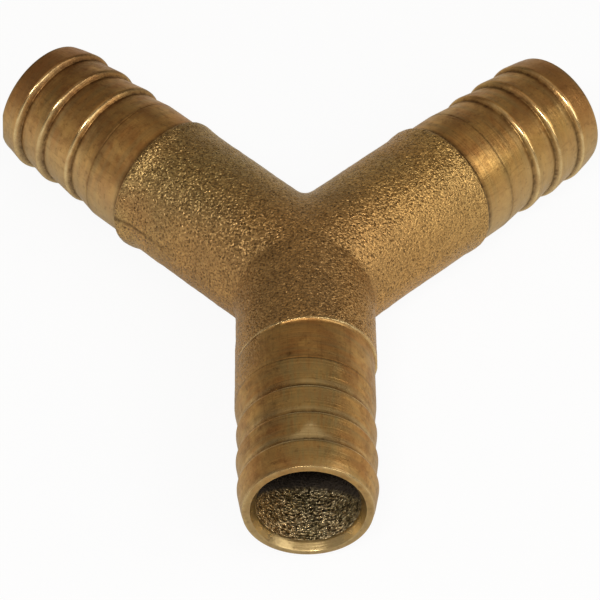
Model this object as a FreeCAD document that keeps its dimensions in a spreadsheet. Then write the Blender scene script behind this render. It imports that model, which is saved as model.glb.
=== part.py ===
import FreeCAD, Part
import os
import Sketcher

# Three-way hose connector: one hollow brass casting with three turned hose tails.
# Frame: the origin is where the three tube axes meet, the stem runs along -Y,
# the branches run up and out towards +Y, and +Z is up.

# Driving dimensions, in millimetres and degrees.
DIMENSIONS = [
    # round sections
    ("tail_radius", 13.0),          # turned land, and the crests of the barbs
    ("tail_wall", 3.4),             # from there in to the waterway of the sand core
    ("cast_step", 0.5),             # the cast tubes stand this far above the tails
    # cast tubes
    ("fork_angle", 90.0),           # between the two branches
    ("branch_reach", 72.5),         # from the meeting point to a branch's tip
    ("stem_reach", 60.2),           # from the meeting point to the stem's tip
    ("crotch_radius", 1.6),         # blend where two cast tubes meet
    ("swell_length", 4.2),          # a branch's tube widens over this length
    ("shoulder_break", 0.4),        # broken edge of a branch's cast shoulder
    # turned tails
    ("branch_tail", 34.4),          # turned length of a branch
    ("stem_tail", 35.9),            # turned length of the stem
    ("turning_allowance", 0.95),    # cast metal turned off the tail
    ("barb_depth", 0.65),           # depth of the groove between two crests
    ("barb_pitch", 6.75),           # from crest to crest
    ("first_crest", 5.5),           # from the tip to the first crest
    ("barb_face", 0.65),            # axial width of the steep face of a barb
    ("nose_drop", 0.6),             # fall of the nose ramp below the crests
    ("nose_length", 0.8),           # axial length of the broken edge at the tip
    ("rim_drop", 1.05),             # outer edge of the end face below the crests
    ("stem_offset", 0.2),           # the stem's tail is turned this far off centre
    # countersunk mouths
    ("sink_width", 1.0),            # radial width of the countersink
    ("sink_depth", 1.75),           # its axial depth
]
SIZE = dict(DIMENSIONS)
BARBS = 3
HUB = "1.5*tail_radius"             # the tubes are one shape from the meeting point to here

doc = FreeCAD.newDocument("hose_connector")
sheet = doc.addObject("Spreadsheet::Sheet", "dims")
for row, (alias, value) in enumerate(DIMENSIONS, start=1):
    sheet.set("A%d" % row, alias)
    sheet.set("B%d" % row, str(value))
    sheet.setAlias("B%d" % row, alias)
doc.recompute()

body = doc.addObject("PartDesign::Body", "y_body")
body.Label = "y_body"


def origin_plane(role):
    return [plane for plane in body.Origin.OriginFeatures if plane.Role == role][0]


def length_of(terms):
    """Value of a sum of sheet names such as "stem_reach - 2*barb_pitch"."""
    total = 0.0
    sign = 1.0
    for term in terms.split():
        if term in ("+", "-"):
            sign = 1.0 if term == "+" else -1.0
        else:
            factor, _, alias = term.rpartition("*")
            total += sign * float(factor or 1) * SIZE[alias]
    return total


def formula_of(terms):
    """The same sum as a formula that reads the sheet."""
    words = []
    for term in terms.split():
        factor, star, alias = term.rpartition("*")
        words.append(term if term in ("+", "-") else factor + star + "dims." + alias)
    return " ".join(words)


def tube_sketch(name, corners, angle_formula, start_angle, off_centre=None):
    """Closed outline of straight lines in the upright plane through one tube's axis.

    Each corner is (station along the axis, radius), and None is zero.
    """
    sketch = body.newObject("Sketcher::SketchObject", name)
    sketch.AttachmentSupport = (origin_plane("XZ_Plane"), [""])
    sketch.MapMode = "FlatFace"
    turn = FreeCAD.Rotation(FreeCAD.Vector(0, 1, 0), start_angle)
    sketch.AttachmentOffset = FreeCAD.Placement(FreeCAD.Vector(0, 0, 0), turn)
    sketch.setExpression("AttachmentOffset.Rotation.Angle", angle_formula)
    if off_centre:
        sketch.setExpression("AttachmentOffset.Base.x", off_centre)
    points = []
    for station, radius in corners:
        x = length_of(station) if station else 0.0
        y = length_of(radius) if radius else 0.0
        points.append(FreeCAD.Vector(x, y, 0))
    count = len(points)
    for i in range(count):
        sketch.addGeometry(Part.LineSegment(points[i], points[(i + 1) % count]), False)
    for i in range(count):
        sketch.addConstraint(Sketcher.Constraint("Coincident", i, 2, (i + 1) % count, 1))
    for i, (station, radius) in enumerate(corners):
        if station:
            made = sketch.addConstraint(Sketcher.Constraint("DistanceX", -1, 1, i, 1, points[i].x))
            sketch.setExpression("Constraints[%d]" % made, formula_of(station))
        else:
            sketch.addConstraint(Sketcher.Constraint("PointOnObject", i, 1, -2))
        if radius:
            made = sketch.addConstraint(Sketcher.Constraint("DistanceY", -1, 1, i, 1, points[i].y))
            sketch.setExpression("Constraints[%d]" % made, formula_of(radius))
        else:
            sketch.addConstraint(Sketcher.Constraint("PointOnObject", i, 1, -1))
    sketch.Visibility = False
    return sketch


def turned(kind, name, sketch):
    """A Revolution or a Groove of the whole turn about the sketch's own X axis."""
    feature = body.newObject("PartDesign::" + kind, name)
    feature.Profile = sketch
    feature.ReferenceAxis = (sketch, ["H_Axis"])
    feature.Angle = 360.0
    doc.recompute()
    return feature


def hub_corners():
    """Half section of one tube where it meets the others."""
    return [(None, None), (HUB, None), (HUB, "tail_radius + cast_step"), (None, "tail_radius + cast_step")]


def hub_core_corners():
    return [(None, None), (HUB, None), (HUB, "tail_radius - tail_wall"), (None, "tail_radius - tail_wall")]


def blank_corners(tube):
    """Half section of the rest of a tube as it is cast, with metal on it for the tail."""
    shoulder = tube + "_reach - " + tube + "_tail"
    swell_start = shoulder + " - swell_length" if tube == "branch" else shoulder
    return [
        (HUB, "tail_radius - tail_wall"),
        (tube + "_reach", "tail_radius - tail_wall"),
        (tube + "_reach", "tail_radius + turning_allowance"),
        (shoulder, "tail_radius + turning_allowance"),
        (swell_start, "tail_radius + cast_step"),
        (HUB, "tail_radius + cast_step"),
    ]


def waste_corners(tube):
    """Half section of what is turned off: the land, the barbs and the nose are left."""
    reach = tube + "_reach"
    shoulder = reach + " - " + tube + "_tail"
    corners = [(shoulder, "tail_radius")]
    for k in range(BARBS, 0, -1):
        groove_start = "%s - first_crest - %d*barb_pitch" % (reach, k)
        crest = "%s - first_crest - %d*barb_pitch" % (reach, k - 1)
        corners.append((groove_start, "tail_radius"))
        corners.append((crest + " - barb_face", "tail_radius - barb_depth"))
    corners += [
        (reach + " - first_crest", "tail_radius"),
        (reach + " - nose_length", "tail_radius - nose_drop"),
        (reach, "tail_radius - rim_drop"),
        (reach + " + nose_length", "tail_radius - rim_drop"),
        (reach + " + nose_length", "tail_radius + 2*turning_allowance"),
    ]
    if tube == "branch":
        corners += [
            (shoulder + " - shoulder_break", "tail_radius + 2*turning_allowance"),
            (shoulder + " - shoulder_break", "tail_radius + turning_allowance"),
            (shoulder, "tail_radius + turning_allowance - shoulder_break"),
        ]
    else:
        corners.append((shoulder, "tail_radius + 2*turning_allowance"))
    return corners


def sink_corners(tube):
    reach = tube + "_reach"
    return [
        (reach + " - sink_depth", None),
        (reach, None),
        (reach, "tail_radius - tail_wall + sink_width"),
        (reach + " - sink_depth", "tail_radius - tail_wall"),
    ]


STEM = ("-90", -90.0)
BRANCH = ("90 - dims.fork_angle / 2", 90.0 - SIZE["fork_angle"] / 2)


def mirrored(name, originals):
    feature = body.newObject("PartDesign::Mirrored", name)
    feature.Originals = originals
    feature.MirrorPlane = (origin_plane("YZ_Plane"), [""])
    body.Tip = feature
    doc.recompute()
    return feature


# The junction of the casting: three equal tubes whose axes meet.
stem_hub = turned("Revolution", "stem_hub", tube_sketch("stem_hub_section", hub_corners(), *STEM))
branch_hub = turned("Revolution", "branch_hub",
                    tube_sketch("branch_hub_section", hub_corners(), *BRANCH))
both_hubs = mirrored("both_branch_hubs", [branch_hub])

# The waterway of the sand core through the junction.
stem_core = turned("Groove", "stem_core",
                   tube_sketch("stem_core_section", hub_core_corners(), *STEM))
branch_core = turned("Groove", "branch_core",
                     tube_sketch("branch_core_section", hub_core_corners(), *BRANCH))
both_cored = mirrored("both_branch_cores", [branch_core])

# Soft crotches: the outer seams between the tubes are planar ellipse arcs.
seams = [
    "Edge%d" % number
    for number, edge in enumerate(both_cored.Shape.Edges, start=1)
    if edge.Curve.TypeId == "Part::GeomEllipse" and edge.Curve.MinorRadius > SIZE["tail_radius"]
]
crotches = body.newObject("PartDesign::Fillet", "crotches")
crotches.Base = (both_cored, seams)
crotches.setExpression("Radius", "dims.crotch_radius")
doc.recompute()

# The rest of each cast tube, cored through, with a thicker blank for its tail.
stem_cast = turned("Revolution", "stem_cast", tube_sketch("stem_cast_section", blank_corners("stem"), *STEM))
branch_cast = turned("Revolution", "branch_cast",
                     tube_sketch("branch_cast_section", blank_corners("branch"), *BRANCH))
both_cast = mirrored("both_branches_cast", [branch_cast])

# Turning: the stem's tail and its countersink share an axis a little off the casting's.
stem_tail = turned("Groove", "stem_turning",
                   tube_sketch("stem_turning_section", waste_corners("stem"), *STEM, "-dims.stem_offset"))
stem_sink = turned("Groove", "stem_countersink",
                   tube_sketch("stem_countersink_section", sink_corners("stem"), *STEM, "-dims.stem_offset"))
branch_tail = turned("Groove", "branch_turning",
                     tube_sketch("branch_turning_section", waste_corners("branch"), *BRANCH))
branch_sink = turned("Groove", "branch_countersink",
                     tube_sketch("branch_countersink_section", sink_corners("branch"), *BRANCH))
both_turned = mirrored("both_branches_turned", [branch_tail, branch_sink])
body.Placement = FreeCAD.Placement()
doc.recompute()

# Every object must have computed, and every cut must have removed metal.
for item in doc.Objects:
    for word in item.State:
        if word in ("Invalid", "Error"):
            raise RuntimeError("%s is %s" % (item.Name, word))
cuts = [
    [both_hubs, stem_core, branch_core, both_cored],
    [both_cast, stem_tail, stem_sink, branch_tail, branch_sink, both_turned],
]
for steps in cuts:
    volumes = [step.Shape.Volume for step in steps]
    if any(after >= before - 1.0 for before, after in zip(volumes, volumes[1:])):
        raise RuntimeError("a cut removed nothing: %r" % volumes)
if body.Shape.isNull() or not body.Shape.isValid():
    raise RuntimeError("y_body is not a valid shape")
if len(body.Shape.Solids) != 1:
    raise RuntimeError("y_body is not one solid")

os.makedirs("parts", exist_ok=True)
body.Shape.exportStep("parts/y_body.step")
box = body.Shape.BoundBox
print("y_body %.2f x %.2f x %.2f mm, %.0f mm3" % (box.XLength, box.YLength, box.ZLength, body.Shape.Volume))
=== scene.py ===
import math
from types import SimpleNamespace

import bmesh
import bpy
import numpy as np
from mathutils import Matrix, Vector, noise


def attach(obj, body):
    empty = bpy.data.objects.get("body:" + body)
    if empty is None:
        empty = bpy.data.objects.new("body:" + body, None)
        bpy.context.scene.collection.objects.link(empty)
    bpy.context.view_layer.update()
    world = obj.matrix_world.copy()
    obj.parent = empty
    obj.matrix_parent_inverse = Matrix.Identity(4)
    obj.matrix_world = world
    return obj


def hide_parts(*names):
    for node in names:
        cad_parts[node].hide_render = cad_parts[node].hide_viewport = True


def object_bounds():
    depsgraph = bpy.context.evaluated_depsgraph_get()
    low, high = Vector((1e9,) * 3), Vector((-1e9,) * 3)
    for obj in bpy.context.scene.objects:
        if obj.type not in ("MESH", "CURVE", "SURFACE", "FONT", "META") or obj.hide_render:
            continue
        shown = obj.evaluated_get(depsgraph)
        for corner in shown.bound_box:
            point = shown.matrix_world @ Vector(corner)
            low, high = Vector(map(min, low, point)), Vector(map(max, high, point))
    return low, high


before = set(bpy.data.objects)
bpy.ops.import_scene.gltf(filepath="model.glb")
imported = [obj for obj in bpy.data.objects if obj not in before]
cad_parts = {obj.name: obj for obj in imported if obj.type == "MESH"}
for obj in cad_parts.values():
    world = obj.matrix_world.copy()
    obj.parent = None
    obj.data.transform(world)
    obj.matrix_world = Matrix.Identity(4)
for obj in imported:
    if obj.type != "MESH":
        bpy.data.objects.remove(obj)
cad_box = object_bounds()

# A Y connector for hoses: one hollow brass casting, sand-cast round a core, with three
# turned and barbed tails. The row frame has its origin where the three tube axes meet, the
# stem runs along -Y and the branches up and out towards +Y. A station is a distance from
# the origin along a tube. The connector is made in millimetres, and MM turns them into
# Blender's metres.
MM = 0.001

CAST_RADIUS = 13.5
CORE_RADIUS = 9.6
MOUTH_RADIUS = 10.6     # outer edge of the countersink
SINK_DEPTH = 1.75
NOSE_LENGTH = 1.6
SWELL_START = 4.2       # a branch's cast tube widens between these distances from its shoulder
SWELL_END = 0.4
BARB_FACE = 0.75        # axial width of a barb's steep face
CREST_CAP = 0.08        # easing takes about this much off a crest, so it is drawn higher
HUB_LENGTH = 19.5       # past this station a tube is clear of its neighbours
INNER_HUB_LENGTH = 15.5     # and past this one its bore is
CROTCH_BLEND = 3.2      # softness of the crotches between the cast tubes

LINE_DEPTH = 0.05       # of the shallow line across each land
LINE_HALF_WIDTH = 0.25
RIM_FLAT = 0.4          # depth of the flat at the bottom of the stem's rim
RIM_FLAT_LENGTH = 3.0
PARTING_STEP = 0.06     # half the step in the cast skin at the parting plane
WAVE_HEIGHT = 0.07      # of the cast skin's long waves, and of its shorter ones
COARSE_GRIT = 0.2       # height of the cored bore's coarse grit
FINE_GRIT = 0.1
GRIT_START = 0.3        # the bore turns rough between these depths below the countersink
GRIT_FULL = 2.5

# How far the corners of a tail's outline are eased.
LINE_EASES = (0.06, 0.08, 0.1)
ROOT_EASE = 0.14
CREST_EASE = 0.5
NOSE_EASE = 0.4
RIM_EASE = 0.12

AROUND = 136            # points round each tube
HUB_ROWS = 30           # rows from the seams to the hub's end
GRAIN_ROW = 0.52        # spacing of the rows along the cast skin
TAIL_ROW = 0.8          # greatest spacing along the turned tail
CORE_ROW_GROWTH = 1.035     # the rows of the bore spread out with its depth
CORE_ROW_MOST = 2.0
INNER_ROWS = 14         # rows of the bore inside the hub
SEAM_WELD = 0.002       # points closer than this are joined
BOX_INSET = 0.005       # the skin stays this far inside the CAD box

# What a row of points belongs to.
CAST, TURNED, CORE = 0, 1, 2

# The three tubes. Each pair is for the tube's left and right side, seen from the meeting
# point towards the tip: a real casting is a little uneven, and a little off its lathe's
# centre. turn_left and turn_right are the angles to the next tube on each side, and
# broken_edge is the cast shoulder's. swell is how far the cast tube widens. land_line is the
# distance of the line across the land from the tip. A barb is (its crest's distance from
# the tip, its radii, its root's radii, how far it leans towards the tip on the left side).
# low_right says how far the cast skin on the right side lies below the plain tube, as
# (station, depth). core_row is the first spacing of the rows in the bore.
ARMS = {
    "stem": {
        "heading": -90.0, "turn_left": 135.0, "turn_right": 135.0,
        "reach": 60.2, "shoulder": 24.3, "broken_edge": 0.13, "swell": (0.0, 0.0),
        "rim": (11.85, 12.0), "nose": (12.3, 12.38),
        "land": (13.0, 13.42), "land_line": 26.3,
        "barbs": (
            (5.7, (12.93, 12.92), (12.3, 12.3), 0.0),
            (12.5, (12.93, 13.1), (12.25, 12.3), 0.0),
            (19.2, (12.92, 13.05), (12.4, 12.4), 0.0),
        ),
        "low_right": ((5.6, 0.0), (11.0, 0.45), (24.0, 0.28), (34.0, 0.14), (36.0, 0.1)),
        "core_row": 0.42,
    },
    "right": {
        "heading": 45.0, "turn_left": 90.0, "turn_right": 135.0,
        "reach": 72.45, "shoulder": 38.1, "broken_edge": 0.32, "swell": (0.3, 0.2),
        "rim": (12.2, 11.98), "nose": (12.5, 12.42),
        "land": (12.97, 13.16), "land_line": 27.0,
        "barbs": (
            (5.5, (12.93, 13.05), (12.25, 12.3), 0.0),
            (12.3, (12.9, 13.16), (12.15, 12.2), 0.0),
            (18.9, (12.95, 13.16), (12.3, 12.3), 0.0),
        ),
        "low_right": ((8.0, 0.0), (17.0, 0.15), (32.0, 0.0)),
        "core_row": 0.7,
    },
    "left": {
        "heading": 135.0, "turn_left": 135.0, "turn_right": 90.0,
        "reach": 72.45, "shoulder": 38.1, "broken_edge": 0.32, "swell": (0.75, 0.27),
        "rim": (12.4, 12.0), "nose": (12.62, 12.46),
        "land": (13.14, 12.93), "land_line": 25.6,
        "barbs": (
            (5.0, (13.25, 13.05), (12.05, 12.3), 0.4),
            (11.7, (13.15, 13.0), (12.05, 12.2), 0.7),
            (19.2, (12.85, 13.05), (12.0, 12.3), 0.2),
        ),
        "low_right": ((0.0, 0.0),),
        "core_row": 0.7,
    },
}

# The stem's cast shoulder is set back, and further on its left side by the lean. Both fade
# out towards the hub and over the tail.
SHOULDER_SET_BACK = 0.5
SHOULDER_LEAN = 1.1
LEAN_STATIONS = (18.5, 23.7, 25.5, 33.0)
LEAN_SHARES = (0.0, 1.0, 1.0, 0.0)

# How a tail is worn and shaded: the share of darkening in the shoulder's corner and the width
# of the darkening at a barb's root, both painted shade with some soiling; the width of the
# lightened band on its crest, wear and a painted highlight; and the painted highlight line
# behind it as its strength, its distance from the root and its width.
STEM_WEAR_SHADE_AND_SHEEN = {"corner": 0.25, "root": 0.25, "band": 0.6, "streak": (0.75, 0.75, 0.25)}
BRANCH_WEAR_SHADE_AND_SHEEN = {"corner": 1.0, "root": 0.36, "band": 0.42, "streak": (0.3, 1.1, 0.6)}
WEAR_SHADE_AND_SHEEN = {"stem": STEM_WEAR_SHADE_AND_SHEEN, "right": BRANCH_WEAR_SHADE_AND_SHEEN, "left": BRANCH_WEAR_SHADE_AND_SHEEN}

# The pale fan on top of the stem's first barb, a painted sheen: its point's distance from
# the tip, its length, and half its width at the point and added to that at the other end.
FAN_POINT = 10.7
FAN_LENGTH = 4.2
FAN_POINT_WIDTH = 0.9
FAN_SPREAD = 4.6

# Dark pits in the metal, each its place and radius.
PITS = (
    ((4.7, -21.5, 12.5), 0.5),
    ((-3.7, -32.8, 12.5), 0.6),
    ((3.3, -38.1, 12.6), 0.35),
    ((46.3, 30.0, 4.5), 0.5),
    ((45.5, 31.3, 7.3), 0.35),
    ((47.0, 29.5, 0.5), 0.5),
)


def smooth_step(x, low, high):
    """Turns softly from 0 to 1 as x goes from low to high."""
    t = np.clip((x - low) / (high - low), 0.0, 1.0)
    return t * t * (3.0 - 2.0 * t)


def bell(x, middle, width):
    return np.exp(-(((x - middle) / width) ** 2))


def sides(pair, cosine):
    """A value that turns from pair's first, on the left side, to its second on the right."""
    return 0.5 * (pair[0] + pair[1]) + 0.5 * (pair[0] - pair[1]) * cosine


def directions(arm):
    turn = math.radians(arm["heading"])
    along = np.array([math.cos(turn), math.sin(turn), 0.0])
    across = np.array([-math.sin(turn), math.cos(turn), 0.0])
    return along, across


def seam_station(arm, radius, cosine):
    """Where a tube of this radius meets its neighbours, on each side."""
    left = radius * cosine / math.tan(math.radians(arm["turn_left"] / 2))
    right = -radius * cosine / math.tan(math.radians(arm["turn_right"] / 2))
    return np.where(cosine > 0, left, right)


def cast_radius(arm, station, cosine):
    """The as-cast surface: a plain tube, its swelling at the shoulder, and its faults."""
    rise = smooth_step(arm["shoulder"] - station, SWELL_START, SWELL_END)
    radius = CAST_RADIUS + sides(arm["swell"], cosine) * rise
    stations, depths = zip(*arm["low_right"])
    right_side = np.maximum(0.0, -cosine) ** 1.3
    return radius - right_side * np.interp(station, stations, depths)


def eased(corners):
    """Rounds the inner corners of an outline of (station, left, right, corner size).

    A corner takes at most the longest share of the straight run beside it. One more point
    a little further out on each run keeps that run's shading straight.
    """
    longest, further = 0.45, 0.8
    points = [corners[0][:3]]
    for before, here, after in zip(corners, corners[1:], corners[2:]):
        p0, p1, p2 = (np.array(corner[:3]) for corner in (before, here, after))
        size = here[3]
        back = min(longest, size / max(np.linalg.norm((p0 - p1)[:2]), 1e-6))
        ahead = min(longest, size / max(np.linalg.norm((p2 - p1)[:2]), 1e-6))
        a = p1 + (p0 - p1) * back
        b = p1 + (p2 - p1) * ahead
        points.append(tuple(a + (a - p1) * further * back))
        for t in (0.0, 0.25, 0.5, 0.75, 1.0):
            points.append(tuple((1 - t) ** 2 * a + 2 * t * (1 - t) * p1 + t * t * b))
        points.append(tuple(b + (b - p1) * further * ahead))
    points.append(corners[-1][:3])
    return points


def filled(points, spacing):
    """Adds points to an outline's long straight runs."""
    out = [points[0]]
    for p, q in zip(points, points[1:]):
        p, q = np.array(p), np.array(q)
        count = max(1, math.ceil(np.linalg.norm((q - p)[:2]) / spacing))
        out += [tuple(p + (q - p) * k / count) for k in range(1, count + 1)]
    return out


def tail_outline(arm):
    """From the foot of the shoulder over the barbs and the rim to the foot of the countersink."""
    reach = arm["reach"]
    line = reach - arm["land_line"]
    line_radii = tuple(radius - LINE_DEPTH for radius in arm["land"])
    corners = [
        (arm["shoulder"], *arm["land"], 0.0),
        (line - LINE_HALF_WIDTH, *arm["land"], LINE_EASES[0]),
        (line, *line_radii, LINE_EASES[1]),
        (line + LINE_HALF_WIDTH, *arm["land"], LINE_EASES[2]),
    ]
    for crest, crest_radii, root_radii, _ in reversed(arm["barbs"]):
        drawn_radii = tuple(radius + CREST_CAP for radius in crest_radii)
        corners.append((reach - crest - BARB_FACE, *root_radii, ROOT_EASE))
        corners.append((reach - crest, *drawn_radii, CREST_EASE))
    corners += [
        (reach - NOSE_LENGTH, *arm["nose"], NOSE_EASE),
        (reach, *arm["rim"], RIM_EASE),
        (reach, MOUTH_RADIUS, MOUTH_RADIUS, RIM_EASE),
        (reach - SINK_DEPTH, CORE_RADIUS, CORE_RADIUS, 0.0),
    ]
    return filled(eased(corners), TAIL_ROW)


def leaned(name, arm, station, cosine):
    """The stem's cast shoulder and some barbs aren't quite square to their tube."""
    if name == "stem":
        share = np.interp(station, LEAN_STATIONS, LEAN_SHARES)
        return station - share * (SHOULDER_SET_BACK + SHOULDER_LEAN * cosine)
    tips = [0.0] + [crest for crest, _, _, _ in arm["barbs"]] + [arm["land_line"]]
    leans = [0.0] + [lean for _, _, _, lean in arm["barbs"]] + [0.0]
    return station + np.interp(arm["reach"] - station, tips, leans) * cosine


def cast_rows(arm, cosine):
    """Rows of (station, radius, kind) from the outer seam to the shoulder's edge."""
    seam = seam_station(arm, CAST_RADIUS, cosine)
    stations = [seam + (HUB_LENGTH - seam) * k / HUB_ROWS for k in range(HUB_ROWS)]
    edge = arm["shoulder"] - arm["broken_edge"]
    count = round((arm["shoulder"] - HUB_LENGTH) / GRAIN_ROW)
    for k in range(count + 1):
        stations.append(np.full(AROUND, HUB_LENGTH + (edge - HUB_LENGTH) * k / count))
    return [(station, cast_radius(arm, station, cosine), CAST) for station in stations]


def tail_rows(arm, cosine):
    """Rows of (station, radius, kind) over the shoulder's broken edge and the turned tail."""
    rows = []
    outline = tail_outline(arm)
    foot = sides(outline[0][1:], cosine)
    broken = arm["broken_edge"]
    edge = arm["shoulder"] - broken
    lip = cast_radius(arm, np.full(AROUND, edge), cosine)
    for t in (0.3, 0.7, 1.0):
        station = np.full(AROUND, edge + broken * math.sin(t * math.pi / 2))
        radius = lip - broken * (1 - math.cos(t * math.pi / 2))
        rows.append((station, np.minimum(lip, np.maximum(radius, foot)), CAST))
    for station, left, right in outline:
        rows.append((np.full(AROUND, station), sides((left, right), cosine), TURNED))
    return rows


def bore_rows(arm, cosine):
    """Rows of (station, radius, kind) from the countersink back to the inner seam."""
    radius = np.full(AROUND, CORE_RADIUS)
    rows = []
    station = arm["reach"] - SINK_DEPTH
    step = arm["core_row"]
    while station - step > INNER_HUB_LENGTH:
        station -= step
        rows.append((np.full(AROUND, station), radius, CORE))
        step = min(step * CORE_ROW_GROWTH, CORE_ROW_MOST)
    seam = seam_station(arm, CORE_RADIUS, cosine)
    for k in range(1, INNER_ROWS + 1):
        t = k / INNER_ROWS
        rows.append((seam * t + station * (1 - t), radius, CORE))
    return rows


def tube_surface(name, arm):
    """A tube's points, row by row, and what the wear and the textures need at each point."""
    angle = np.arange(AROUND) * 2 * math.pi / AROUND
    cosine, sine = np.cos(angle), np.sin(angle)
    # nothing to either side at the top and the bottom, where all the seams meet
    cosine[[AROUND // 4, 3 * AROUND // 4]] = 0.0
    rows = cast_rows(arm, cosine) + tail_rows(arm, cosine) + bore_rows(arm, cosine)
    station = np.array([row[0] for row in rows])
    radius = np.array([row[1] for row in rows])
    row_kinds = np.array([row[2] for row in rows])
    kind = np.repeat(row_kinds[:, None], AROUND, axis=1)
    turned = kind == TURNED

    # where the lathe didn't reach the casting, its skin is left standing
    mould = cast_radius(arm, station, cosine)
    skin = np.where(turned, smooth_step(radius - mould, -0.12, 0.1), kind == CAST)
    radius = np.where(turned, np.minimum(radius, mould), radius)
    if name == "stem":
        underside = np.maximum(0.0, -sine) ** 3
        near_tip = smooth_step(arm["reach"] - station, RIM_FLAT_LENGTH, 0.0)
        flattened = np.maximum(radius - RIM_FLAT * near_tip * underside, np.minimum(radius, MOUTH_RADIUS))
        radius = np.where(turned, flattened, radius)

    placed = np.where(kind == CORE, station, leaned(name, arm, station, cosine))
    lathe = np.stack([placed, radius * cosine, radius * sine], axis=-1).reshape(-1, 3)
    along, across = directions(arm)
    tube = SimpleNamespace(
        row_kinds=row_kinds, axis=along, lathe=lathe, across=lathe[:, 1], height=lathe[:, 2],
        points=lathe @ np.stack([along, across, (0.0, 0.0, 1.0)]),
        station=station.ravel(), radius=radius.ravel(), kind=kind.ravel(), skin=skin.ravel(),
    )
    tube.from_tip = arm["reach"] - tube.station
    tube.cosine = tube.across / tube.radius
    from_seam = tube.station - seam_station(arm, CAST_RADIUS, tube.cosine)
    tube.past_seam = smooth_step(from_seam, 0.0, 1.2)
    tube.in_mouth = smooth_step(MOUTH_RADIUS + 0.1 - tube.radius, 0.0, 0.1)
    return tube


def away_from(points, along):
    """Distance of each point from a tube's half axis, and the direction away from it."""
    station = np.maximum(points @ along, 0.0)
    out = points - station[:, None] * along
    distance = np.linalg.norm(out, axis=1)
    return distance, out / np.maximum(distance, 1e-9)[:, None]


def soften_crotches(points):
    """Moves points of the cast skin onto a smooth blend of the three tubes."""
    tubes = [directions(arm)[0] for arm in ARMS.values()]
    for _ in range(4):
        found = [away_from(points, along) for along in tubes]
        distances = np.stack([f[0] for f in found]) - CAST_RADIUS
        normals = np.stack([f[1] for f in found])
        order = np.argsort(distances, axis=0)
        pick = np.arange(len(points))
        first, second = order[0], order[1]
        d1, d2 = distances[first, pick], distances[second, pick]
        n1, n2 = normals[first, pick], normals[second, pick]
        reach = np.maximum(CROTCH_BLEND * (1 - np.sum(n1 * n2, axis=1)), 1e-4)
        share = np.maximum(reach - np.abs(d1 - d2), 0.0) / reach
        value = d1 - share * share * reach / 4
        normal = n1 * (1 - share / 2)[:, None] + n2 * (share / 2)[:, None]
        size = np.linalg.norm(normal, axis=1)
        move = np.where(share > 0, value / np.maximum(size, 0.3), 0.0)
        points = points - move[:, None] * normal / size[:, None]
    return points


def rumple(points, scale, seed):
    """Signed smooth noise at the points, one value each."""
    shift = Vector((seed, 2.7 * seed, -1.3 * seed))
    return np.array([noise.noise(Vector(p) * scale + shift) for p in points])


def sand_mould(tube):
    """How far long waves, and the step at the parting plane, move each point of the cast skin."""
    move = np.zeros(len(tube.points))
    where = np.nonzero(tube.skin)[0]
    waves = rumple(tube.points[where], 0.22, 3.0) + rumple(tube.points[where], 0.8, 9.0)
    move[where] = WAVE_HEIGHT * waves * tube.skin[where]
    height = tube.points[:, 2]
    step = -PARTING_STEP * np.tanh(height / 0.15) * bell(height, 0.0, 5.0)
    move += np.where(tube.kind == CAST, step, 0.0)
    return move * tube.past_seam


def give_relief(arm, tube):
    """Softens the crotches, makes the cast skin uneven and the cored bore gritty."""
    hub = (tube.kind == CAST) & (tube.station < HUB_LENGTH)
    fade = 1 - smooth_step(tube.station[hub], HUB_LENGTH - 3.0, HUB_LENGTH)
    tube.points[hub] += (soften_crotches(tube.points[hub]) - tube.points[hub]) * fade[:, None]

    out = tube.points - (tube.points @ tube.axis)[:, None] * tube.axis
    out /= np.maximum(np.linalg.norm(out, axis=1), 1e-9)[:, None]
    tube.points += out * sand_mould(tube)[:, None]

    bore = np.nonzero((tube.kind == CORE) & (tube.station > HUB_LENGTH))[0]
    grit = COARSE_GRIT * rumple(tube.points[bore], 0.75, 14.0)
    grit += FINE_GRIT * rumple(tube.points[bore], 1.4, 4.0)
    depth = arm["reach"] - SINK_DEPTH - tube.station[bore]
    grit *= smooth_step(depth, GRIT_START, GRIT_FULL)
    tube.points[bore] -= out[bore] * grit[:, None]


def tail_wear_shade_and_sheen(name, arm, tube):
    """Where a tail is darkened in its corners and at its barbs' roots, by soiling and painted
    shade, and where its edges are lightened, by wear and a painted highlight.
    """
    wear = WEAR_SHADE_AND_SHEEN[name]
    turned = tube.kind == TURNED
    tip = tube.from_tip
    shoulder = arm["shoulder"]
    # painted shade with some soiling: darker in the shoulder's corner, along the line across the land and
    # at each barb's root
    corner = bell(tube.station, shoulder, 0.35)
    corner = np.maximum(corner, 0.8 * bell(tube.station, shoulder + 0.6, 0.4))
    line = bell(tip, arm["land_line"], 0.3)
    dirt_and_shade = np.maximum(wear["corner"] * corner, 0.55 * line)
    # the rim's edge and the countersink are lightened: polished metal and a painted highlight
    rim = bell(tube.radius, sum(arm["rim"]) / 2, 0.25) * bell(tip, 0.1, 0.35)
    clean = np.maximum(0.35 * turned * tube.in_mouth, 0.8 * rim)
    # each crest's band is lightened by wear and a painted glint; the line behind its root is a painted
    # highlight
    strength, distance, width = wear["streak"]
    for crest, _, _, _ in arm["barbs"]:
        root = crest + BARB_FACE
        end = crest + wear["band"]
        band = smooth_step(tip, crest - 0.3, crest - 0.05) * smooth_step(tip, end, end - 0.2)
        streak = strength * bell(tip, root + distance, width)
        dirt_and_shade = np.maximum(dirt_and_shade, 0.8 * bell(tip, root, wear["root"]))
        clean = np.maximum(clean, np.maximum(band, streak))
    # the cast lip along the shoulder is lightened: a painted highlight on a worn edge
    lip = smooth_step(tube.station, shoulder - 0.2, shoulder - 0.1) * (tube.kind == CAST)
    return dirt_and_shade * turned, np.where(turned, clean, lip)


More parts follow.
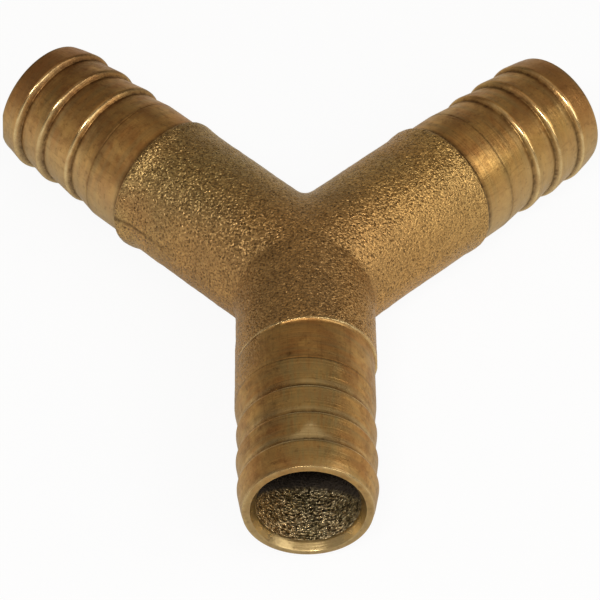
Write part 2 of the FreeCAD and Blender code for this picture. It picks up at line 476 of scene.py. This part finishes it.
def stem_painted_light(arm, tube, dirt_and_shade, dull_and_reflection):
    """The stem's tail: a painted reflection of the room above greys its top olive, painted shade
    darkens its flanks, and a painted sheen lays a pale fan on its first barb.
    """
    tip, across = tube.from_tip, tube.across
    # painted reflection: the top of the tail is greyed olive
    top = smooth_step(tube.height, 11.2, 12.2) * (tip < arm["land_line"])
    dull_and_reflection = np.maximum(dull_and_reflection, 0.85 * top)
    # painted shade on both flanks
    right_flank = smooth_step(-across, 4.5, 8.0) * smooth_step(-across, 12.6, 11.4)
    left_flank = 0.8 * smooth_step(across, 8.0, 11.5)
    flank = np.maximum(right_flank, left_flank) * (tube.kind == TURNED)
    dirt_and_shade = np.maximum(dirt_and_shade, 0.24 * flank)
    # painted sheen: the pale fan on the first barb
    spread = np.clip((FAN_POINT - tip) / FAN_LENGTH, 0.0, 1.0)
    inside = FAN_POINT_WIDTH + FAN_SPREAD * spread**2 - np.abs(across)
    fan = smooth_step(inside, -0.4, 1.3) * smooth_step(tip, 6.2, 6.6) * smooth_step(spread, 0.0, 0.2)
    return dirt_and_shade, dull_and_reflection, fan


def branch_shade_and_sheen(name, tube, dirt_and_shade, clean):
    """A branch's crests keep their lightening, a painted highlight, on the side where the glints
    fall, towards the stem, and on the left branch painted shade darkens their tops.
    """
    stem_side = tube.cosine if name == "left" else -tube.cosine
    onset = -0.05 if name == "left" else -0.3
    if name == "left":
        # painted shade on the tops of the left branch's crests
        crest_top_shade = 0.5 * clean * smooth_step(tube.cosine, 0.68, 0.35)
        dirt_and_shade = np.maximum(dirt_and_shade, crest_top_shade * (tube.kind == TURNED))
    # the painted highlight fades away from the side where the glints fall
    clean = clean * (0.3 + 0.7 * smooth_step(stem_side, onset, onset + 0.65))
    return dirt_and_shade, clean


def wear_shade_and_sheen_fields(name, arm, tube):
    """The mesh's fields: each point's own coordinates along, across and above its tube, and
    how much there is of cast skin, of soiling and painted shade, of wear and painted highlight,
    of matt metal and painted reflection, of parting line, and of the fan's painted sheen."""
    turned = tube.kind == TURNED
    dirt_and_shade, clean = tail_wear_shade_and_sheen(name, arm, tube)
    rubbed_lip = (tube.kind == CAST) & (clean > 0)
    skin = np.where(turned, 0.75 * tube.skin, np.where(rubbed_lip, 0.4, tube.skin))

    # painted shadow: the bore goes dark sooner at its top than at its floor, following the edge of the
    # mouth's shadow
    darkness = tube.from_tip + 1.3 * (tube.height + CORE_RADIUS)
    dirt_and_shade += (tube.kind == CORE) * smooth_step(darkness, 14.2, 15.0)
    outside_mouth = smooth_step(tube.radius, MOUTH_RADIUS, MOUTH_RADIUS + 0.1)
    end_face = smooth_step(tube.from_tip, 0.2, 0.05) * outside_mouth
    dirt_and_shade = np.maximum(dirt_and_shade, 0.27 * end_face * turned)
    dull_and_reflection = np.maximum(0.6 * end_face, 0.8 * tube.in_mouth)
    fan = np.zeros(len(dull_and_reflection))
    if name == "stem":
        dirt_and_shade, dull_and_reflection, fan = stem_painted_light(arm, tube, dirt_and_shade, dull_and_reflection)
    else:
        dirt_and_shade, clean = branch_shade_and_sheen(name, tube, dirt_and_shade, clean)
    for place, size in PITS:
        dirt_and_shade = np.maximum(dirt_and_shade, bell(np.linalg.norm(tube.points - place, axis=1), 0.0, size))

    # the parting line shows towards the left branch's shoulder, and hardly elsewhere
    parting = bell(tube.points[:, 2], 0.1, 0.22) * (tube.kind == CAST) * tube.past_seam
    shown = smooth_step(tube.station, 18.0, 34.0) if name == "left" else 0.15
    return {
        "lathe": tube.lathe,
        "skin": skin,
        "dirt_and_shade": dirt_and_shade,
        "clean": clean,
        "dull_and_reflection": dull_and_reflection * turned,
        "parting": parting * shown,
        "pale": fan * (tube.height > 0.0) * turned,
    }


def quads_between_rows(row_count, start):
    """Quads from each row of points to the next, round the whole tube."""
    index = np.arange(row_count * AROUND).reshape(row_count, AROUND) + start
    near, far = index[:-1], index[1:]
    quads = [near, np.roll(near, -1, axis=1), np.roll(far, -1, axis=1), far]
    return np.stack(quads, axis=-1).reshape(-1, 4)


def close_seams(mesh):
    """Joins the three tubes along their seams and turns every face outwards."""
    shell = bmesh.new()
    shell.from_mesh(mesh)
    bmesh.ops.remove_doubles(shell, verts=shell.verts, dist=SEAM_WELD * MM)
    bmesh.ops.recalc_face_normals(shell, faces=shell.faces)
    for face in shell.faces:
        face.smooth = True
    open_edges = sum(1 for edge in shell.edges if len(edge.link_faces) != 2)
    print("y_connector: %d faces, %d open edges" % (len(shell.faces), open_edges))
    shell.to_mesh(mesh)
    shell.free()


def y_mesh():
    """One closed mesh. Its first material is the outside, and its second the bore."""
    points, faces, in_bore, fields = [], [], [], []
    start = 0
    for name, arm in ARMS.items():
        tube = tube_surface(name, arm)
        give_relief(arm, tube)
        fields.append(wear_shade_and_sheen_fields(name, arm, tube))
        faces.append(quads_between_rows(len(tube.row_kinds), start))
        in_bore.append(np.repeat(tube.row_kinds[1:] == CORE, AROUND))
        points.append(tube.points)
        start += len(tube.points)

    low, high = (np.array(corner) / MM for corner in cad_box)
    points = np.clip(np.concatenate(points), low + BOX_INSET, high - BOX_INSET)
    mesh = bpy.data.meshes.new("y_connector")
    mesh.from_pydata((points * MM).tolist(), [], np.concatenate(faces).tolist())
    mesh.polygons.foreach_set("material_index", np.concatenate(in_bore).astype(np.int32))
    for field in fields[0]:
        values = np.concatenate([arm_fields[field] for arm_fields in fields])
        is_vector = values.ndim == 2
        layer = mesh.attributes.new(field, "FLOAT_VECTOR" if is_vector else "FLOAT", "POINT")
        layer.data.foreach_set("vector" if is_vector else "value", values.ravel())
    mesh.update()
    close_seams(mesh)
    return mesh


# Shader nodes.

def add(tree, kind, inputs=(), **settings):
    """A new node with its inputs set or linked."""
    made = tree.nodes.new(kind)
    for key, value in settings.items():
        setattr(made, key, value)
    for key, value in dict(inputs).items():
        if isinstance(value, bpy.types.NodeSocket):
            tree.links.new(value, made.inputs[key])
        else:
            made.inputs[key].default_value = value
    return made


def vector_maths(tree, operation, inputs):
    return add(tree, "ShaderNodeVectorMath", inputs, operation=operation).outputs[0]


def object_mm(tree):
    """Object coordinates in millimetres."""
    place = add(tree, "ShaderNodeTexCoord").outputs["Object"]
    return vector_maths(tree, "SCALE", {0: place, "Scale": 1.0 / MM})


def field_of(tree, name, output="Fac"):
    """A field of the mesh."""
    return add(tree, "ShaderNodeAttribute", attribute_name=name).outputs[output]


def axes_of(tree, vector):
    return add(tree, "ShaderNodeSeparateXYZ", {0: vector}).outputs


def stretched(tree, vector, factors):
    return vector_maths(tree, "MULTIPLY", {0: vector, 1: factors})


def cloud(tree, vector, scale, detail, roughness):
    inputs = {"Vector": vector, "Scale": scale, "Detail": detail, "Roughness": roughness}
    return add(tree, "ShaderNodeTexNoise", inputs).outputs["Fac"]


def cells(tree, vector, scale):
    inputs = {"Vector": vector, "Scale": scale}
    return add(tree, "ShaderNodeTexVoronoi", inputs, feature="SMOOTH_F1").outputs["Distance"]


def maths(tree, operation, a, b):
    return add(tree, "ShaderNodeMath", {0: a, 1: b}, operation=operation).outputs[0]


def times(tree, a, b):
    return maths(tree, "MULTIPLY", a, b)


def between(tree, value, low, high, to_low=0.0, to_high=1.0):
    """Turns from to_low to to_high as the value goes from low to high."""
    inputs = {"Value": value, "From Min": low, "From Max": high, "To Min": to_low, "To Max": to_high}
    return add(tree, "ShaderNodeMapRange", inputs, clamp=True).outputs["Result"]


def blend_values(tree, share, a, b):
    inputs = {0: share, 2: a, 3: b}
    return add(tree, "ShaderNodeMix", inputs, data_type="FLOAT").outputs[0]


def blend_colours(tree, share, a, b):
    inputs = {0: share, 6: a, 7: b}
    return add(tree, "ShaderNodeMix", inputs, data_type="RGBA", clamp_factor=True).outputs[2]


def layered(tree, colour, layers):
    """Lays each (share, colour) over what is there."""
    for share, over in layers:
        colour = blend_colours(tree, share, colour, over)
    return colour


def bump(tree, height, strength, relief, normal):
    """A normal tipped by a relief of this height in millimetres."""
    inputs = {"Height": height, "Strength": strength, "Distance": relief * MM, "Normal": normal}
    return add(tree, "ShaderNodeBump", inputs).outputs[0]


def srgb(red, green, blue):
    """A colour written as it looks on a screen, 0 to 255."""
    linear = []
    for value in (red, green, blue):
        value /= 255.0
        linear.append(value / 12.92 if value <= 0.04045 else ((value + 0.055) / 1.055) ** 2.4)
    return (*linear, 1.0)


def new_material(name):
    made = bpy.data.materials.new(name)
    made.use_nodes = True
    made.node_tree.nodes.clear()
    return made, made.node_tree


def finish_material(tree, surface):
    add(tree, "ShaderNodeOutputMaterial", {"Surface": surface.outputs[0]})


# The textures' reliefs in millimetres, and the grains of sand in one millimetre.
SAND_RELIEF = 0.24
LATHE_RELIEF = 0.07
CORE_RELIEF = 1.1
SAND_GRAINS = 3.0
CORE_GRAINS = 2.2

# Colours of the cast skin.
CAST_GOLD = srgb(218, 182, 116)
CAST_KHAKI = srgb(188, 162, 108)
CAST_COPPER = srgb(202, 146, 90)
# a painted reflection of the room above, on the left branch's top
CAST_OLIVE_REFLECTION = srgb(150, 134, 88)
# painted light from the right lamp
CAST_YELLOW = srgb(234, 184, 104)
GRAIN_SHADE = srgb(124, 88, 48)
GRAIN_PIT = srgb(60, 40, 22)
PARTING_LINE = srgb(62, 42, 24)

# Colours of the turned tails.
TURNED_GOLD = srgb(212, 165, 96)
TURNED_COPPER = srgb(184, 133, 76)
TURNED_BAND = srgb(170, 142, 92)
TURNED_BLOTCH = srgb(138, 94, 54)
# a painted tint of the right lamp's highlight
TURNED_YELLOW = srgb(182, 146, 78)
# painted shade on top of the left branch
TOP_SHADE_BROWN = srgb(112, 72, 40)
# a painted reflection of the white floor on the low sides
FLOOR_REFLECTION_KHAKI = srgb(190, 166, 123)
NOSE_COPPER = srgb(172, 116, 66)
# matt metal on the end faces, and a painted reflection of the room above on the stem's top
DULL_AND_REFLECTED_OLIVE = srgb(162, 140, 91)
# a painted sheen, the fan on the stem's first barb
FAN_SHEEN_CREAM = srgb(232, 206, 152)
SPECK = srgb(110, 74, 42)
SCRATCH = srgb(120, 84, 48)

# Edges lightened by wear and a painted highlight, and corners darkened by soiling and painted shade, on
# both.
RUBBED_AND_SHEEN = srgb(222, 196, 142)
GRIME_AND_SHADE = srgb(64, 42, 22)

# Colours of the cored bore.
CORE_HOLLOW = srgb(102, 80, 48)
CORE_GRAIN = srgb(250, 224, 172)
CORE_OLIVE = srgb(116, 104, 64)
CORE_GOLD = srgb(232, 174, 98)
# painted shadow far inside the bore
CORE_PAINTED_SHADOW = srgb(74, 65, 56)


def sand_grain(tree, place, count, tilt):
    """A normal tipped from grain to grain, so that single grains glint, and each grain's tone."""
    grains = add(tree, "ShaderNodeTexVoronoi", {"Vector": place, "Scale": count}).outputs["Color"]
    centred = vector_maths(tree, "SUBTRACT", {0: grains, 1: (0.5, 0.5, 0.5)})
    tipped = vector_maths(tree, "SCALE", {0: centred, "Scale": tilt})
    normal = add(tree, "ShaderNodeNewGeometry").outputs["Normal"]
    total = vector_maths(tree, "ADD", {0: normal, 1: tipped})
    tone = add(tree, "ShaderNodeSeparateColor", {0: grains}).outputs[0]
    return vector_maths(tree, "NORMALIZE", {0: total}), tone


def outer_inputs(tree):
    """What the outer brass is made from: places, the mesh's fields, and the metal's textures."""
    place = object_mm(tree)
    lathe = field_of(tree, "lathe", "Vector")
    skin = field_of(tree, "skin")
    grain_normal, grain_tone = sand_grain(tree, place, SAND_GRAINS, times(tree, skin, 0.4))
    return SimpleNamespace(
        place=place,
        axes=axes_of(tree, place),
        along=axes_of(tree, lathe)["X"],
        skin=skin,
        dirt_and_shade=field_of(tree, "dirt_and_shade"),
        clean=field_of(tree, "clean"),
        dull_and_reflection=field_of(tree, "dull_and_reflection"),
        parting=field_of(tree, "parting"),
        pale=field_of(tree, "pale"),
        grain_normal=grain_normal,
        grain_tone=grain_tone,
        lumps=cells(tree, place, 2.2),
        fine=cloud(tree, place, 2.4, 2.0, 0.5),
        stains=cloud(tree, place, 0.22, 4.0, 0.62),
        blotches=cloud(tree, place, 0.5, 4.0, 0.7),
        specks=cloud(tree, place, 1.1, 2.0, 0.6),
        # marks and bands run round the tail, and scratches along it
        marks=cloud(tree, stretched(tree, lathe, (2.5, 0.08, 0.08)), 1.0, 3.0, 0.6),
        bands=cloud(tree, stretched(tree, lathe, (0.8, 0.07, 0.07)), 1.0, 2.0, 0.5),
        scratches=cloud(tree, stretched(tree, lathe, (0.12, 1.6, 1.6)), 1.0, 3.0, 0.6),
    )


def cast_colour(tree, brass):
    """Golden skin, coppery up to the junction, olive on top on the left as a painted reflection of
    the room above, and yellower on the right as painted light from the right lamp.
    """
    x, y, z = (brass.axes[axis] for axis in "XYZ")
    patches = cloud(tree, brass.place, 0.12, 3.0, 0.5)
    clouds = cloud(tree, stretched(tree, brass.place, (1.0, 1.0, 1.6)), 0.05, 2.0, 0.5)
    copper = maths(
        tree, "MAXIMUM",
        between(tree, clouds, 0.45, 0.65, 0.0, 0.5),
        between(tree, y, 4.0, 22.0, 0.5, 0.0),
    )
    # painted reflection on top of the left branch
    left_top_reflection = times(tree, between(tree, z, 7.0, 11.5, 0.0, 0.5), between(tree, x, -4.0, -20.0))
    base = blend_colours(tree, between(tree, patches, 0.36, 0.64), CAST_GOLD, CAST_KHAKI)
    return layered(tree, base, (
        (copper, CAST_COPPER),
        (left_top_reflection, CAST_OLIVE_REFLECTION),
        # painted light: yellower towards the right lamp
        (between(tree, x, 4.0, 22.0, 0.0, 0.42), CAST_YELLOW),
        (between(tree, brass.grain_tone, 0.0, 1.0, 0.65, 0.0), GRAIN_SHADE),
        (between(tree, brass.fine, 0.34, 0.44, 0.75, 0.0), GRAIN_PIT),
        (times(tree, brass.parting, 0.85), PARTING_LINE),
    ))


def turned_colour(tree, brass):
    """The tails: yellower on the right branch, a painted tint of the right lamp's highlight;
    brown on top of the left, painted shade; khaki low down, a painted reflection of the floor.
    """
    x, _, z = (brass.axes[axis] for axis in "XYZ")
    # painted tint of the right lamp's highlight, below the right branch's top
    yellow = times(tree, between(tree, x, 10.0, 30.0, 0.0, 0.4), between(tree, z, 12.0, 9.0))
    # painted shade on top of the left branch
    left_top_shade = times(tree, between(tree, x, -26.0, -40.0, 0.0, 0.45), between(tree, z, 6.0, 11.0))
    left_top_shade = times(tree, left_top_shade, between(tree, brass.blotches, 0.35, 0.6, 0.5, 1.0))
    nose = times(tree, between(tree, brass.along, 65.5, 68.5, 0.0, 0.55), between(tree, z, 3.0, 9.0))
    # matt metal, and a painted reflection on the stem's top
    dulled_and_reflected = times(tree, brass.dull_and_reflection, between(tree, brass.scratches, 0.35, 0.6, 1.0, 0.5))
    # the fan's painted sheen
    fan_sheen = times(tree, brass.pale, between(tree, brass.marks, 0.4, 0.6, 0.35, 0.8))
    base = blend_colours(tree, between(tree, brass.stains, 0.36, 0.62), TURNED_GOLD, TURNED_COPPER)
    return layered(tree, base, (
        (between(tree, brass.bands, 0.45, 0.7, 0.0, 0.6), TURNED_BAND),
        (between(tree, brass.blotches, 0.5, 0.68, 0.0, 0.5), TURNED_BLOTCH),
        (yellow, TURNED_YELLOW),
        (left_top_shade, TOP_SHADE_BROWN),
        # painted reflection of the white floor on the low sides
        (between(tree, z, 8.0, -3.0, 0.0, 0.8), FLOOR_REFLECTION_KHAKI),
        (nose, NOSE_COPPER),
        (dulled_and_reflected, DULL_AND_REFLECTED_OLIVE),
        (fan_sheen, FAN_SHEEN_CREAM),
        (between(tree, brass.specks, 0.6, 0.7, 0.0, 0.35), SPECK),
        (between(tree, brass.scratches, 0.56, 0.68, 0.0, 0.25), SCRATCH),
    ))


def outer_colour(tree, brass):
    """Skin and turned metal, both lightened on their edges by wear and a painted highlight, and
    darkened in their corners by soiling and painted shade.
    """
    metal = blend_colours(tree, brass.skin, turned_colour(tree, brass), cast_colour(tree, brass))
    # wear and painted highlight
    rubbed_and_sheen = times(tree, brass.clean, between(tree, brass.stains, 0.4, 0.6, 1.0, 0.35))
    # soiling and painted shade
    grime_and_shade = times(tree, brass.dirt_and_shade, between(tree, brass.specks, 0.4, 0.6, 0.6, 0.95))
    return layered(tree, metal, ((times(tree, rubbed_and_sheen, 0.85), RUBBED_AND_SHEEN), (grime_and_shade, GRIME_AND_SHADE)))


def outer_roughness(tree, brass):
    turned = between(tree, brass.blotches, 0.35, 0.65, 0.3, 0.44)
    cast = between(tree, brass.grain_tone, 0.0, 1.0, 0.22, 0.38)
    rough = blend_values(tree, brass.skin, turned, cast)
    return blend_values(tree, brass.clean, rough, 0.2)


def outer_normal(tree, brass):
    """Sand grain on the skin, and the lathe's marks on the turned metal that isn't rubbed."""
    grain = maths(tree, "SUBTRACT", brass.fine, times(tree, brass.lumps, 0.6))
    sandy = bump(tree, grain, brass.skin, SAND_RELIEF, brass.grain_normal)
    unpolished = maths(tree, "SUBTRACT", 1.0, times(tree, brass.clean, 0.7))
    marked = times(tree, maths(tree, "SUBTRACT", 1.0, brass.skin), unpolished)
    scored = maths(tree, "ADD", brass.marks, times(tree, brass.scratches, 0.6))
    return bump(tree, scored, marked, LATHE_RELIEF, sandy)


def outer_brass():
    """Sand-cast skin and turned metal in one brass, told apart by the skin field."""
    made, tree = new_material("brass_outside")
    brass = outer_inputs(tree)
    surface = add(tree, "ShaderNodeBsdfPrincipled", {
        "Base Color": outer_colour(tree, brass),
        "Roughness": outer_roughness(tree, brass),
        "Metallic": 0.95,
        "Specular Tint": (0.82, 0.78, 0.69, 1.0),
        "Normal": outer_normal(tree, brass),
    })
    finish_material(tree, surface)
    return made


def core_brass():
    """The rough waterway that the sand core left, darkened further in by a painted shadow."""
    made, tree = new_material("brass_bore")
    place = object_mm(tree)
    # the painted shadow inside the bore
    bore_shadow = field_of(tree, "dirt_and_shade")
    tilt = between(tree, bore_shadow, 0.0, 1.0, 1.2, 0.4)
    grain_normal, grain_tone = sand_grain(tree, place, CORE_GRAINS, tilt)
    fine = cloud(tree, stretched(tree, place, (0.8, 1.25, 1.0)), 1.7, 2.0, 0.5)
    patches = cloud(tree, place, 0.16, 2.0, 0.5)
    west = between(tree, axes_of(tree, place)["X"], 0.0, -7.0, 0.0, 0.3)
    base = blend_colours(tree, between(tree, fine, 0.42, 0.58), CORE_HOLLOW, CORE_GRAIN)
    colour = layered(tree, base, (
        (between(tree, patches, 0.4, 0.62, 0.0, 0.5), CORE_OLIVE),
        (west, CORE_GOLD),
        (bore_shadow, CORE_PAINTED_SHADOW),
    ))
    strength = between(tree, bore_shadow, 0.0, 1.0, 1.0, 0.3)
    surface = add(tree, "ShaderNodeBsdfPrincipled", {
        "Base Color": colour,
        "Roughness": between(tree, grain_tone, 0.0, 1.0, 0.16, 0.34),
        "Metallic": between(tree, bore_shadow, 0.0, 1.0, 0.8, 0.1),
        "Normal": bump(tree, fine, strength, CORE_RELIEF, grain_normal),
    })
    finish_material(tree, surface)
    return made


def y_connector():
    piece = bpy.data.objects.new("y_connector", y_mesh())
    bpy.context.scene.collection.objects.link(piece)
    piece.data.materials.append(outer_brass())
    piece.data.materials.append(core_brass())
    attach(piece, "root")
    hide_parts("y_body")


# Stage, in metres.

LAMP_DISTANCE = 1.0

# Each lamp's direction from the connector, its size and its power.
LAMPS = {
    "main_lamp": ((-0.16, -0.66, 0.73), (0.32, 0.1), 4.2),
    "right_lamp": ((0.76, -0.05, 0.64), (0.45, 0.45), 1.78),
    "front_lamp": ((0.5, -0.6, 0.62), (0.5, 0.5), 2.5),
    "low_lamp": ((0.0, -0.95, 0.3), (0.5, 0.5), 0.35),
    "left_lamp": ((-0.84, -0.05, 0.54), (0.5, 0.5), 0.4),
}


def floor_material():
    """White paper that the camera and the metal see as bright, and that keeps a soft shadow."""
    made, tree = new_material("white_paper")
    path = add(tree, "ShaderNodeLightPath")
    mirrored = maths(tree, "MAXIMUM", path.outputs["Is Glossy Ray"], path.outputs["Is Transmission Ray"])
    seen = times(tree, path.outputs["Is Camera Ray"], 0.92)
    share = maths(tree, "MAXIMUM", times(tree, mirrored, 0.2), seen)
    paper = add(tree, "ShaderNodeBsdfDiffuse", {"Color": (0.86, 0.86, 0.86, 1.0)})
    glow = add(tree, "ShaderNodeEmission", {"Color": (1.0, 1.0, 1.0, 1.0), "Strength": 1.0})
    mixed = add(tree, "ShaderNodeMixShader", {0: share, 1: paper.outputs[0], 2: glow.outputs[0]})
    finish_material(tree, mixed)
    return made


def floor():
    half = 2.0
    corners = [(-half, -half, 0), (half, -half, 0), (half, half, 0), (-half, half, 0)]
    mesh = bpy.data.meshes.new("floor")
    mesh.from_pydata(corners, [], [(0, 1, 2, 3)])
    made = bpy.data.objects.new("floor", mesh)
    made.location.z = cad_box[0][2]
    mesh.materials.append(floor_material())
    bpy.context.scene.collection.objects.link(made)


def softbox(name, direction, size, power):
    """An area lamp that faces the connector from this direction."""
    lamp = bpy.data.lights.new(name, "AREA")
    lamp.shape = "RECTANGLE"
    lamp.size, lamp.size_y = size
    lamp.energy = power
    made = bpy.data.objects.new(name, lamp)
    towards = Vector(direction).normalized()
    made.location = towards * LAMP_DISTANCE
    made.rotation_euler = towards.to_track_quat("Z", "Y").to_euler()
    bpy.context.scene.collection.objects.link(made)


def room():
    """A room that is bright near the horizon, dim above it and pale again overhead."""
    world = bpy.data.worlds.new("room")
    world.use_nodes = True
    tree = world.node_tree
    tree.nodes.clear()
    axes = axes_of(tree, add(tree, "ShaderNodeTexCoord").outputs["Generated"])
    walls = between(tree, axes["Z"], 0.05, 0.5, 0.6, 0.02)
    walls = times(tree, walls, between(tree, axes["X"], -1.0, 1.0, 0.8, 1.2))
    ceiling = between(tree, axes["Z"], 0.45, 1.0, 0.0, 0.52)
    shade = maths(tree, "ADD", walls, ceiling)
    up = between(tree, axes["Z"], 0.2, 0.7)
    tint = blend_colours(tree, up, (1.0, 0.96, 0.92, 1.0), (1.0, 0.86, 0.68, 1.0))
    light = add(tree, "ShaderNodeBackground", {"Color": tint, "Strength": shade})
    add(tree, "ShaderNodeOutputWorld", {"Surface": light.outputs[0]})
    bpy.context.scene.world = world


def camera():
    """The photograph's view: elevation, azimuth, roll, distance and lens come from a fit of
    the tube axes and the rims to it."""
    elevation, azimuth, roll = math.radians(43.954), math.radians(-3.150), math.radians(3.523)
    distance = 0.7014
    sensor = 36.0

    # in the picture's pixels: its side, the lens, and the place where the tube axes meet
    picture = 600.0
    focal_pixels = 3650.1
    meeting_x, meeting_y = 304.007, 280.933

    sin_a, cos_a = math.sin(azimuth), math.cos(azimuth)
    sin_e, cos_e = math.sin(elevation), math.cos(elevation)
    forward = Vector((-sin_a * cos_e, cos_a * cos_e, -sin_e))
    right = Vector((cos_a, sin_a, 0.0))
    up = right.cross(forward)
    right, up = (
        right * math.cos(roll) + up * math.sin(roll),
        up * math.cos(roll) - right * math.sin(roll),
    )
    across = (meeting_x - picture / 2) / focal_pixels * distance
    above = (picture / 2 - meeting_y) / focal_pixels * distance
    place = -(right * across + up * above + forward * distance)
    lens = bpy.data.cameras.new("camera")
    lens.sensor_width = sensor
    lens.lens = focal_pixels / picture * sensor
    lens.clip_start = 0.01
    made = bpy.data.objects.new("camera", lens)
    turn = Matrix((right, up, -forward)).transposed().to_4x4()
    made.matrix_world = Matrix.Translation(place) @ turn
    bpy.context.scene.collection.objects.link(made)
    bpy.context.scene.camera = made


y_connector()
floor()
room()
camera()
for name, lamp in LAMPS.items():
    softbox(name, *lamp)

bpy.context.scene.view_settings.view_transform = "Standard"
